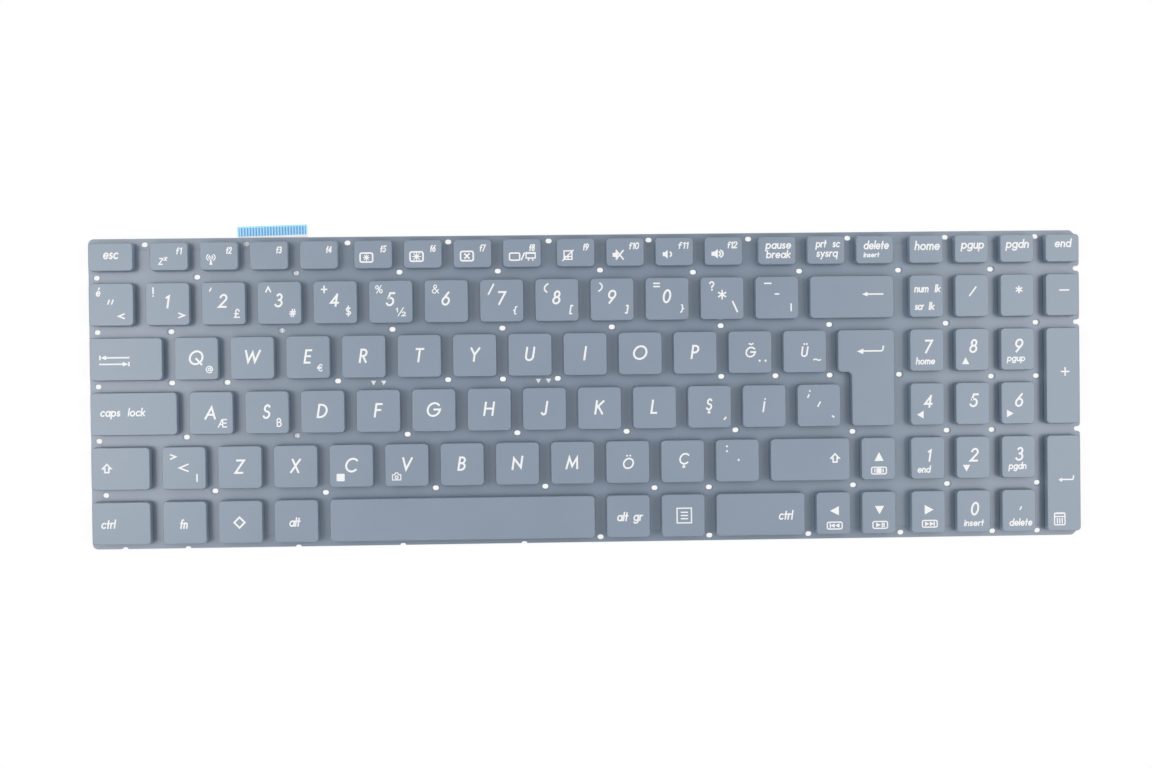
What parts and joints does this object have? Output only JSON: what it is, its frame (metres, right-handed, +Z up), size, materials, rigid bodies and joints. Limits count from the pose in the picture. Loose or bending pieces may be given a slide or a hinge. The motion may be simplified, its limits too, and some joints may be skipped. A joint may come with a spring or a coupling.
{
  "type": "laptop replacement keyboard",
  "caption": "Thin frameless laptop keyboard with numeric keypad: low key caps with legends on scissor links over a perforated backplate, with a flat ribbon tail at the rear.",
  "frame": {"origin": "on the resting plane, under the middle of the whole outline with the ribbon tail", "axes": "+X along the key rows to the keypad, +Y to the rear edge where the ribbon leaves, +Z up through the key caps"},
  "size_m": [0.344, 0.1114, 0.0052],
  "materials": {
    "cap_plastic": "fine matt slate grey plastic with white legends",
    "coated_metal": "matt slate grey coating",
    "film": "matt slate grey film",
    "ribbon_film": "pale polyester film with printed conductors",
    "blue_film": "blue polyester stiffener",
    "dome_rubber": "translucent silicone rubber",
    "link_plastic": "natural white plastic"
  },
  "bodies": {
    "base": {"backplate": "coated_metal", "keypad_keys": "cap_plastic", "membrane": "film", "ribbon_stiffener": "blue_film", "ribbon_tail": "ribbon_film", "rubber_domes": "dome_rubber", "scissor_links": "link_plastic", "upper_row_keys": "cap_plastic"},
    "key_a": {"key_a": "cap_plastic"},
    "key_alt_gr": {"key_alt_gr": "cap_plastic"},
    "key_b": {"key_b": "cap_plastic"},
    "key_c": {"key_c": "cap_plastic"},
    "key_c_cedilla": {"key_c_cedilla": "cap_plastic"},
    "key_caps_lock": {"key_caps_lock": "cap_plastic"},
    "key_comma": {"key_comma": "cap_plastic"},
    "key_d": {"key_d": "cap_plastic"},
    "key_down": {"key_down": "cap_plastic"},
    "key_e": {"key_e": "cap_plastic"},
    "key_enter": {"key_enter": "cap_plastic"},
    "key_f": {"key_f": "cap_plastic"},
    "key_fn": {"key_fn": "cap_plastic"},
    "key_g": {"key_g": "cap_plastic"},
    "key_g_breve": {"key_g_breve": "cap_plastic"},
    "key_h": {"key_h": "cap_plastic"},
    "key_i": {"key_i": "cap_plastic"},
    "key_i_dotted": {"key_i_dotted": "cap_plastic"},
    "key_j": {"key_j": "cap_plastic"},
    "key_k": {"key_k": "cap_plastic"},
    "key_l": {"key_l": "cap_plastic"},
    "key_left": {"key_left": "cap_plastic"},
    "key_left_alt": {"key_left_alt": "cap_plastic"},
    "key_left_ctrl": {"key_left_ctrl": "cap_plastic"},
    "key_left_shift": {"key_left_shift": "cap_plastic"},
    "key_less": {"key_less": "cap_plastic"},
    "key_m": {"key_m": "cap_plastic"},
    "key_menu": {"key_menu": "cap_plastic"},
    "key_n": {"key_n": "cap_plastic"},
    "key_o": {"key_o": "cap_plastic"},
    "key_o_umlaut": {"key_o_umlaut": "cap_plastic"},
    "key_p": {"key_p": "cap_plastic"},
    "key_period": {"key_period": "cap_plastic"},
    "key_q": {"key_q": "cap_plastic"},
    "key_r": {"key_r": "cap_plastic"},
    "key_right": {"key_right": "cap_plastic"},
    "key_right_ctrl": {"key_right_ctrl": "cap_plastic"},
    "key_right_shift": {"key_right_shift": "cap_plastic"},
    "key_s": {"key_s": "cap_plastic"},
    "key_s_cedilla": {"key_s_cedilla": "cap_plastic"},
    "key_space": {"key_space": "cap_plastic"},
    "key_system": {"key_system": "cap_plastic"},
    "key_t": {"key_t": "cap_plastic"},
    "key_tab": {"key_tab": "cap_plastic"},
    "key_u": {"key_u": "cap_plastic"},
    "key_u_umlaut": {"key_u_umlaut": "cap_plastic"},
    "key_up": {"key_up": "cap_plastic"},
    "key_v": {"key_v": "cap_plastic"},
    "key_w": {"key_w": "cap_plastic"},
    "key_x": {"key_x": "cap_plastic"},
    "key_y": {"key_y": "cap_plastic"},
    "key_z": {"key_z": "cap_plastic"}
  },
  "joints": [
    {"name": "key_a_press", "type": "slide", "parent": "base", "child": "key_a", "axis": [0, 0, -1], "range_m": [0, 0.0018], "stiffness_N_per_m": 300, "deforming": ["rubber_domes", "scissor_links"]},
    {"name": "key_alt_gr_press", "type": "slide", "parent": "base", "child": "key_alt_gr", "axis": [0, 0, -1], "range_m": [0, 0.0018], "stiffness_N_per_m": 300, "deforming": ["rubber_domes", "scissor_links"]},
    {"name": "key_b_press", "type": "slide", "parent": "base", "child": "key_b", "axis": [0, 0, -1], "range_m": [0, 0.0018], "stiffness_N_per_m": 300, "deforming": ["rubber_domes", "scissor_links"]},
    {"name": "key_c_press", "type": "slide", "parent": "base", "child": "key_c", "axis": [0, 0, -1], "range_m": [0, 0.0018], "stiffness_N_per_m": 300, "deforming": ["rubber_domes", "scissor_links"]},
    {"name": "key_c_cedilla_press", "type": "slide", "parent": "base", "child": "key_c_cedilla", "axis": [0, 0, -1], "range_m": [0, 0.0018], "stiffness_N_per_m": 300, "deforming": ["rubber_domes", "scissor_links"]},
    {"name": "key_caps_lock_press", "type": "slide", "parent": "base", "child": "key_caps_lock", "axis": [0, 0, -1], "range_m": [0, 0.0018], "stiffness_N_per_m": 300, "deforming": ["rubber_domes", "scissor_links"]},
    {"name": "key_comma_press", "type": "slide", "parent": "base", "child": "key_comma", "axis": [0, 0, -1], "range_m": [0, 0.0018], "stiffness_N_per_m": 300, "deforming": ["rubber_domes", "scissor_links"]},
    {"name": "key_d_press", "type": "slide", "parent": "base", "child": "key_d", "axis": [0, 0, -1], "range_m": [0, 0.0018], "stiffness_N_per_m": 300, "deforming": ["rubber_domes", "scissor_links"]},
    {"name": "key_down_press", "type": "slide", "parent": "base", "child": "key_down", "axis": [0, 0, -1], "range_m": [0, 0.0018], "stiffness_N_per_m": 300, "deforming": ["rubber_domes", "scissor_links"]},
    {"name": "key_e_press", "type": "slide", "parent": "base", "child": "key_e", "axis": [0, 0, -1], "range_m": [0, 0.0018], "stiffness_N_per_m": 300, "deforming": ["rubber_domes", "scissor_links"]},
    {"name": "key_enter_press", "type": "slide", "parent": "base", "child": "key_enter", "axis": [0, 0, -1], "range_m": [0, 0.0018], "stiffness_N_per_m": 300, "deforming": ["rubber_domes", "scissor_links"]},
    {"name": "key_f_press", "type": "slide", "parent": "base", "child": "key_f", "axis": [0, 0, -1], "range_m": [0, 0.0018], "stiffness_N_per_m": 300, "deforming": ["rubber_domes", "scissor_links"]},
    {"name": "key_fn_press", "type": "slide", "parent": "base", "child": "key_fn", "axis": [0, 0, -1], "range_m": [0, 0.0018], "stiffness_N_per_m": 300, "deforming": ["rubber_domes", "scissor_links"]},
    {"name": "key_g_press", "type": "slide", "parent": "base", "child": "key_g", "axis": [0, 0, -1], "range_m": [0, 0.0018], "stiffness_N_per_m": 300, "deforming": ["rubber_domes", "scissor_links"]},
    {"name": "key_g_breve_press", "type": "slide", "parent": "base", "child": "key_g_breve", "axis": [0, 0, -1], "range_m": [0, 0.0018], "stiffness_N_per_m": 300, "deforming": ["rubber_domes", "scissor_links"]},
    {"name": "key_h_press", "type": "slide", "parent": "base", "child": "key_h", "axis": [0, 0, -1], "range_m": [0, 0.0018], "stiffness_N_per_m": 300, "deforming": ["rubber_domes", "scissor_links"]},
    {"name": "key_i_press", "type": "slide", "parent": "base", "child": "key_i", "axis": [0, 0, -1], "range_m": [0, 0.0018], "stiffness_N_per_m": 300, "deforming": ["rubber_domes", "scissor_links"]},
    {"name": "key_i_dotted_press", "type": "slide", "parent": "base", "child": "key_i_dotted", "axis": [0, 0, -1], "range_m": [0, 0.0018], "stiffness_N_per_m": 300, "deforming": ["rubber_domes", "scissor_links"]},
    {"name": "key_j_press", "type": "slide", "parent": "base", "child": "key_j", "axis": [0, 0, -1], "range_m": [0, 0.0018], "stiffness_N_per_m": 300, "deforming": ["rubber_domes", "scissor_links"]},
    {"name": "key_k_press", "type": "slide", "parent": "base", "child": "key_k", "axis": [0, 0, -1], "range_m": [0, 0.0018], "stiffness_N_per_m": 300, "deforming": ["rubber_domes", "scissor_links"]},
    {"name": "key_l_press", "type": "slide", "parent": "base", "child": "key_l", "axis": [0, 0, -1], "range_m": [0, 0.0018], "stiffness_N_per_m": 300, "deforming": ["rubber_domes", "scissor_links"]},
    {"name": "key_left_press", "type": "slide", "parent": "base", "child": "key_left", "axis": [0, 0, -1], "range_m": [0, 0.0018], "stiffness_N_per_m": 300, "deforming": ["rubber_domes", "scissor_links"]},
    {"name": "key_left_alt_press", "type": "slide", "parent": "base", "child": "key_left_alt", "axis": [0, 0, -1], "range_m": [0, 0.0018], "stiffness_N_per_m": 300, "deforming": ["rubber_domes", "scissor_links"]},
    {"name": "key_left_ctrl_press", "type": "slide", "parent": "base", "child": "key_left_ctrl", "axis": [0, 0, -1], "range_m": [0, 0.0018], "stiffness_N_per_m": 300, "deforming": ["rubber_domes", "scissor_links"]},
    {"name": "key_left_shift_press", "type": "slide", "parent": "base", "child": "key_left_shift", "axis": [0, 0, -1], "range_m": [0, 0.0018], "stiffness_N_per_m": 300, "deforming": ["rubber_domes", "scissor_links"]},
    {"name": "key_less_press", "type": "slide", "parent": "base", "child": "key_less", "axis": [0, 0, -1], "range_m": [0, 0.0018], "stiffness_N_per_m": 300, "deforming": ["rubber_domes", "scissor_links"]},
    {"name": "key_m_press", "type": "slide", "parent": "base", "child": "key_m", "axis": [0, 0, -1], "range_m": [0, 0.0018], "stiffness_N_per_m": 300, "deforming": ["rubber_domes", "scissor_links"]},
    {"name": "key_menu_press", "type": "slide", "parent": "base", "child": "key_menu", "axis": [0, 0, -1], "range_m": [0, 0.0018], "stiffness_N_per_m": 300, "deforming": ["rubber_domes", "scissor_links"]},
    {"name": "key_n_press", "type": "slide", "parent": "base", "child": "key_n", "axis": [0, 0, -1], "range_m": [0, 0.0018], "stiffness_N_per_m": 300, "deforming": ["rubber_domes", "scissor_links"]},
    {"name": "key_o_press", "type": "slide", "parent": "base", "child": "key_o", "axis": [0, 0, -1], "range_m": [0, 0.0018], "stiffness_N_per_m": 300, "deforming": ["rubber_domes", "scissor_links"]},
    {"name": "key_o_umlaut_press", "type": "slide", "parent": "base", "child": "key_o_umlaut", "axis": [0, 0, -1], "range_m": [0, 0.0018], "stiffness_N_per_m": 300, "deforming": ["rubber_domes", "scissor_links"]},
    {"name": "key_p_press", "type": "slide", "parent": "base", "child": "key_p", "axis": [0, 0, -1], "range_m": [0, 0.0018], "stiffness_N_per_m": 300, "deforming": ["rubber_domes", "scissor_links"]},
    {"name": "key_period_press", "type": "slide", "parent": "base", "child": "key_period", "axis": [0, 0, -1], "range_m": [0, 0.0018], "stiffness_N_per_m": 300, "deforming": ["rubber_domes", "scissor_links"]},
    {"name": "key_q_press", "type": "slide", "parent": "base", "child": "key_q", "axis": [0, 0, -1], "range_m": [0, 0.0018], "stiffness_N_per_m": 300, "deforming": ["rubber_domes", "scissor_links"]},
    {"name": "key_r_press", "type": "slide", "parent": "base", "child": "key_r", "axis": [0, 0, -1], "range_m": [0, 0.0018], "stiffness_N_per_m": 300, "deforming": ["rubber_domes", "scissor_links"]},
    {"name": "key_right_press", "type": "slide", "parent": "base", "child": "key_right", "axis": [0, 0, -1], "range_m": [0, 0.0018], "stiffness_N_per_m": 300, "deforming": ["rubber_domes", "scissor_links"]},
    {"name": "key_right_ctrl_press", "type": "slide", "parent": "base", "child": "key_right_ctrl", "axis": [0, 0, -1], "range_m": [0, 0.0018], "stiffness_N_per_m": 300, "deforming": ["rubber_domes", "scissor_links"]},
    {"name": "key_right_shift_press", "type": "slide", "parent": "base", "child": "key_right_shift", "axis": [0, 0, -1], "range_m": [0, 0.0018], "stiffness_N_per_m": 300, "deforming": ["rubber_domes", "scissor_links"]},
    {"name": "key_s_press", "type": "slide", "parent": "base", "child": "key_s", "axis": [0, 0, -1], "range_m": [0, 0.0018], "stiffness_N_per_m": 300, "deforming": ["rubber_domes", "scissor_links"]},
    {"name": "key_s_cedilla_press", "type": "slide", "parent": "base", "child": "key_s_cedilla", "axis": [0, 0, -1], "range_m": [0, 0.0018], "stiffness_N_per_m": 300, "deforming": ["rubber_domes", "scissor_links"]},
    {"name": "key_space_press", "type": "slide", "parent": "base", "child": "key_space", "axis": [0, 0, -1], "range_m": [0, 0.0018], "stiffness_N_per_m": 300, "deforming": ["rubber_domes", "scissor_links"]},
    {"name": "key_system_press", "type": "slide", "parent": "base", "child": "key_system", "axis": [0, 0, -1], "range_m": [0, 0.0018], "stiffness_N_per_m": 300, "deforming": ["rubber_domes", "scissor_links"]},
    {"name": "key_t_press", "type": "slide", "parent": "base", "child": "key_t", "axis": [0, 0, -1], "range_m": [0, 0.0018], "stiffness_N_per_m": 300, "deforming": ["rubber_domes", "scissor_links"]},
    {"name": "key_tab_press", "type": "slide", "parent": "base", "child": "key_tab", "axis": [0, 0, -1], "range_m": [0, 0.0018], "stiffness_N_per_m": 300, "deforming": ["rubber_domes", "scissor_links"]},
    {"name": "key_u_press", "type": "slide", "parent": "base", "child": "key_u", "axis": [0, 0, -1], "range_m": [0, 0.0018], "stiffness_N_per_m": 300, "deforming": ["rubber_domes", "scissor_links"]},
    {"name": "key_u_umlaut_press", "type": "slide", "parent": "base", "child": "key_u_umlaut", "axis": [0, 0, -1], "range_m": [0, 0.0018], "stiffness_N_per_m": 300, "deforming": ["rubber_domes", "scissor_links"]},
    {"name": "key_up_press", "type": "slide", "parent": "base", "child": "key_up", "axis": [0, 0, -1], "range_m": [0, 0.0018], "stiffness_N_per_m": 300, "deforming": ["rubber_domes", "scissor_links"]},
    {"name": "key_v_press", "type": "slide", "parent": "base", "child": "key_v", "axis": [0, 0, -1], "range_m": [0, 0.0018], "stiffness_N_per_m": 300, "deforming": ["rubber_domes", "scissor_links"]},
    {"name": "key_w_press", "type": "slide", "parent": "base", "child": "key_w", "axis": [0, 0, -1], "range_m": [0, 0.0018], "stiffness_N_per_m": 300, "deforming": ["rubber_domes", "scissor_links"]},
    {"name": "key_x_press", "type": "slide", "parent": "base", "child": "key_x", "axis": [0, 0, -1], "range_m": [0, 0.0018], "stiffness_N_per_m": 300, "deforming": ["rubber_domes", "scissor_links"]},
    {"name": "key_y_press", "type": "slide", "parent": "base", "child": "key_y", "axis": [0, 0, -1], "range_m": [0, 0.0018], "stiffness_N_per_m": 300, "deforming": ["rubber_domes", "scissor_links"]},
    {"name": "key_z_press", "type": "slide", "parent": "base", "child": "key_z", "axis": [0, 0, -1], "range_m": [0, 0.0018], "stiffness_N_per_m": 300, "deforming": ["rubber_domes", "scissor_links"]}
  ]
}
